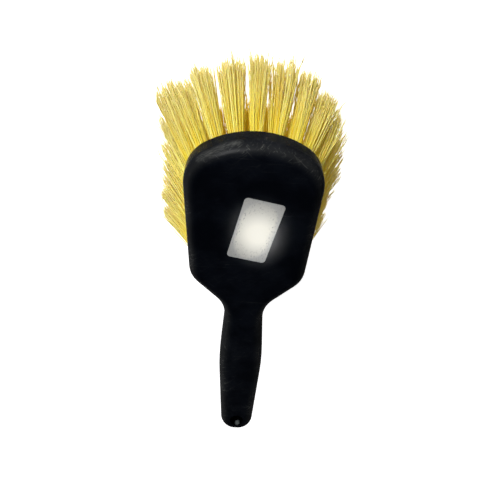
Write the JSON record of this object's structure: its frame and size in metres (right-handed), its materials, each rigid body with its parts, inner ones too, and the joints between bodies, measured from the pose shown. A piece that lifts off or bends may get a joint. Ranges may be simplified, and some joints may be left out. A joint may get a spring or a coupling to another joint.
{
  "type": "wheel brush",
  "caption": "Hand brush for wheels and tyres: a black one-piece block with a raised handle and hang hole, rows of stiff yellow bristle tufts fanning out below, and a blank label on the back.",
  "frame": {"origin": "middle of the footprint, at the height of the lowest bristle tip", "axes": "+Z out of the back of the head, away from the bristles; +Y from the handle to the nose; +X to the right when the back is seen with the nose up"},
  "size_m": [0.1228, 0.2818, 0.0976],
  "materials": {
    "block": "semi-matte moulded black, finely scuffed",
    "bristle": "satin crimped polypropylene filament",
    "anchor_wire": "drawn flat wire",
    "label": "coated paper, slightly satin"
  },
  "bodies": {
    "root": {"brush_block": "block", "tuft_anchors": "anchor_wire", "label": "label", "outer_tuft_01": "bristle", "outer_tuft_02": "bristle", "outer_tuft_03": "bristle", "outer_tuft_04": "bristle", "outer_tuft_05": "bristle", "outer_tuft_06": "bristle", "outer_tuft_07": "bristle", "outer_tuft_08": "bristle", "outer_tuft_09": "bristle", "outer_tuft_10": "bristle", "outer_tuft_11": "bristle", "outer_tuft_12": "bristle", "outer_tuft_13": "bristle", "outer_tuft_14": "bristle", "outer_tuft_15": "bristle", "outer_tuft_16": "bristle", "outer_tuft_17": "bristle", "outer_tuft_18": "bristle", "outer_tuft_19": "bristle", "outer_tuft_20": "bristle", "outer_tuft_21": "bristle", "middle_tuft_01": "bristle", "middle_tuft_02": "bristle", "middle_tuft_03": "bristle", "middle_tuft_04": "bristle", "middle_tuft_05": "bristle", "middle_tuft_06": "bristle", "middle_tuft_07": "bristle", "middle_tuft_08": "bristle", "middle_tuft_09": "bristle", "middle_tuft_10": "bristle", "middle_tuft_11": "bristle", "middle_tuft_12": "bristle", "middle_tuft_13": "bristle", "middle_tuft_14": "bristle", "middle_tuft_15": "bristle", "middle_tuft_16": "bristle", "inner_tuft_01": "bristle", "inner_tuft_02": "bristle", "inner_tuft_03": "bristle", "inner_tuft_04": "bristle", "inner_tuft_05": "bristle", "inner_tuft_06": "bristle", "inner_tuft_07": "bristle", "inner_tuft_08": "bristle", "inner_tuft_09": "bristle", "inner_tuft_10": "bristle", "inner_tuft_11": "bristle", "inner_tuft_12": "bristle"}
  },
  "joints": []
}
